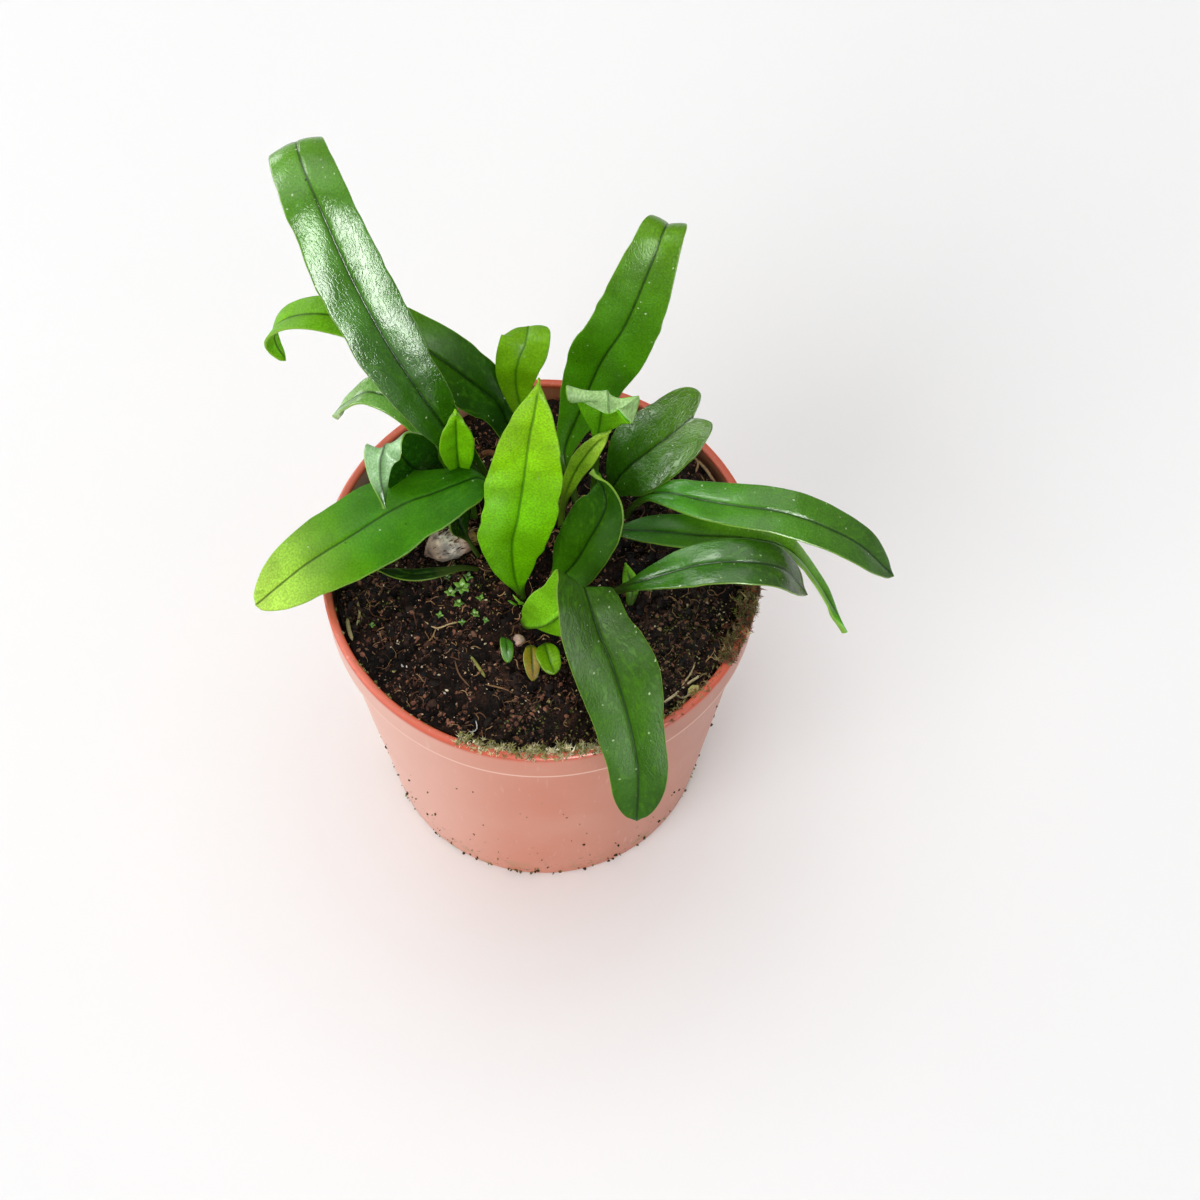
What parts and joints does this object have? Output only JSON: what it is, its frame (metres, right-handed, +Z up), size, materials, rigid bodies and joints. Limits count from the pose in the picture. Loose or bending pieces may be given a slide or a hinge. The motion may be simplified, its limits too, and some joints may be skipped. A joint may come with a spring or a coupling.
{
  "type": "potted fern",
  "caption": "Young fern with simple strap-shaped arching fronds, growing in peat in a round tapered plastic nursery pot with a rim band.",
  "frame": {"origin": "centre of the pot's flat underside", "axes": "+Z up, +X to the viewer's right, +Y away from the viewer"},
  "size_m": [0.1513, 0.1247, 0.1818],
  "materials": {
    "pot_plastic": "hazy terracotta-coloured plastic",
    "peat": "dark fibrous peat",
    "rhizome": "dry pale rootstock",
    "frond_dark": "glossy dark green leaf",
    "frond_mid": "glossy mid green leaf",
    "frond_bright": "satin light green leaf",
    "frond_dry": "yellow-brown dying leaf"
  },
  "bodies": {
    "root": {"pot": "pot_plastic", "soil": "peat", "rhizome_left": "rhizome", "rhizome_front": "rhizome", "frond_tall_left": "frond_dark", "frond_arched_left": "frond_dark", "frond_narrow_left": "frond_mid", "frond_hooked_left": "frond_dark", "frond_low_left": "frond_bright", "leaf_upright_left": "frond_bright", "leaf_bright_centre": "frond_bright", "leaf_back_centre": "frond_bright", "frond_tall_right": "frond_mid", "leaf_folded_top": "frond_bright", "frond_notched": "frond_dark", "leaf_narrow_centre": "frond_bright", "leaf_round_centre": "frond_mid", "frond_long_right": "frond_mid", "frond_drooping_right": "frond_mid", "frond_low_right": "frond_dark", "frond_front": "frond_dark", "leaf_tiny_dark": "frond_dark", "leaf_tiny_brown": "frond_dry", "leaf_tiny_green": "frond_bright", "leaf_small_right": "frond_bright", "leaf_on_soil": "frond_dark", "leaf_under_left": "frond_dark"}
  },
  "joints": []
}
